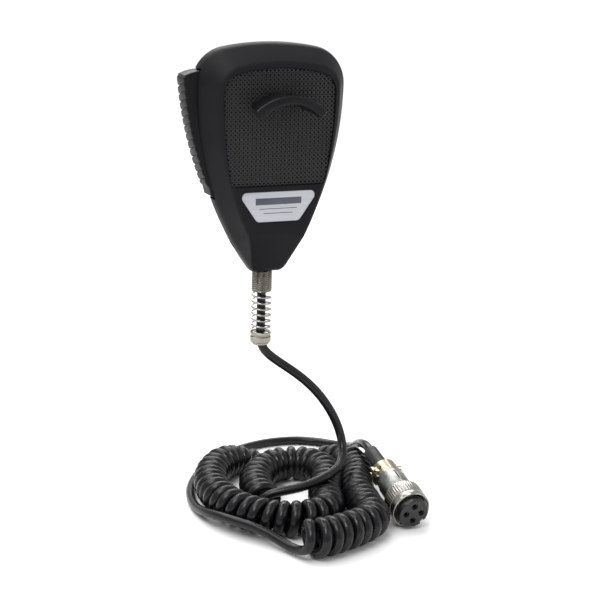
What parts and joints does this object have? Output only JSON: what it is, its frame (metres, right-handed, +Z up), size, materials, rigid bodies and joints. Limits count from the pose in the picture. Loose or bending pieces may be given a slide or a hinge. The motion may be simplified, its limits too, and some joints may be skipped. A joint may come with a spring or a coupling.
{
  "type": "hand microphone",
  "caption": "Hand-held radio microphone: shield-shaped case with a mesh grille, a lip guide and a side talk bar, on a coiled cord with a round four-contact plug",
  "frame": {"origin": "centre of the hanger button on the back of the case, on the inner face of its head", "axes": "+Y points out of the back of the case along the hanger button, the front of the case faces -Y, +Z points up along the case away from the cord, +X to the right of someone behind the front face who looks along +Y"},
  "size_m": [0.1064, 0.148, 0.216],
  "materials": {
    "case_black": "fine textured black plastic",
    "mesh_black": "black painted woven mesh",
    "felt_black": "black felt",
    "badge_silver": "brushed silver-grey",
    "steel": "plain steel",
    "rubber_black": "matte black rubber",
    "switch_brown": "phenolic",
    "plunger_red": "plain",
    "brass": "plain brass",
    "board_green": "printed board",
    "wire_red": "insulated wire",
    "nickel": "bright nickel plate",
    "screw_black": "black oxide",
    "cord_black": "smooth black rubber with a soft shine",
    "satin_metal": "satin grey plate",
    "insert_black": "moulded phenolic"
  },
  "bodies": {
    "microphone": {"front_shell": "case_black", "rear_shell": "case_black", "grille_mesh": "mesh_black", "wind_screen": "felt_black", "lip_guide": "case_black", "badge_plate": "badge_silver", "mic_cartridge": "steel", "cartridge_boot": "rubber_black", "rear_port_cloth": "felt_black", "talk_bar_pin": "steel", "switch_body": "switch_brown", "switch_terminals": "brass", "switch_screws": "steel", "terminal_board": "board_green", "board_screws": "steel", "inner_wires": "wire_red", "cord_clamp": "steel", "cord_clamp_screws": "steel", "hanger_button": "nickel", "hanger_nut": "steel", "case_screws": "screw_black", "threaded_bushing": "nickel", "bushing_nut": "nickel", "strain_spring": "nickel", "cord_collar": "nickel", "upper_lead": "cord_black", "curly_cord": "cord_black", "lower_lead": "cord_black", "plug_sleeve": "rubber_black", "plug_clamp": "nickel", "plug_clamp_screws": "nickel", "plug_shell": "satin_metal", "plug_insert": "insert_black", "plug_contacts": "brass", "plug_set_screw": "steel"},
    "talk_bar": {"talk_bar": "case_black", "talk_bar_spring": "steel"},
    "switch_plunger": {"switch_plunger": "plunger_red"},
    "ring_clip": {"plug_ring_clip": "steel"},
    "lock_ring": {"plug_lock_ring": "nickel"}
  },
  "joints": [
    {"name": "talk_bar_press", "type": "hinge", "parent": "microphone", "child": "talk_bar", "pos_m": [-0.022, -0.0215, -0.02], "axis": [0, 1, 0], "range_deg": [0, 2.8], "stiffness_Nm_per_rad": 1.2, "springref_deg": -3.44},
    {"name": "switch_plunger_slide", "type": "slide", "parent": "microphone", "child": "switch_plunger", "axis": [1, 0, 0], "range_m": [0, 0.0017]},
    {"name": "plug_ring_slide", "type": "slide", "parent": "microphone", "child": "ring_clip", "axis": [-0.051, -0.973, -0.225], "range_m": [0, 0.003]},
    {"name": "plug_ring_spin", "type": "hinge", "parent": "ring_clip", "child": "lock_ring", "pos_m": [0.0515, -0.0805, -0.165], "axis": [-0.051, -0.973, -0.225], "continuous": true}
  ],
  "couplings": [
    {"joint": "switch_plunger_slide", "follows": "talk_bar_press", "m_per_rad": 0.032}
  ]
}
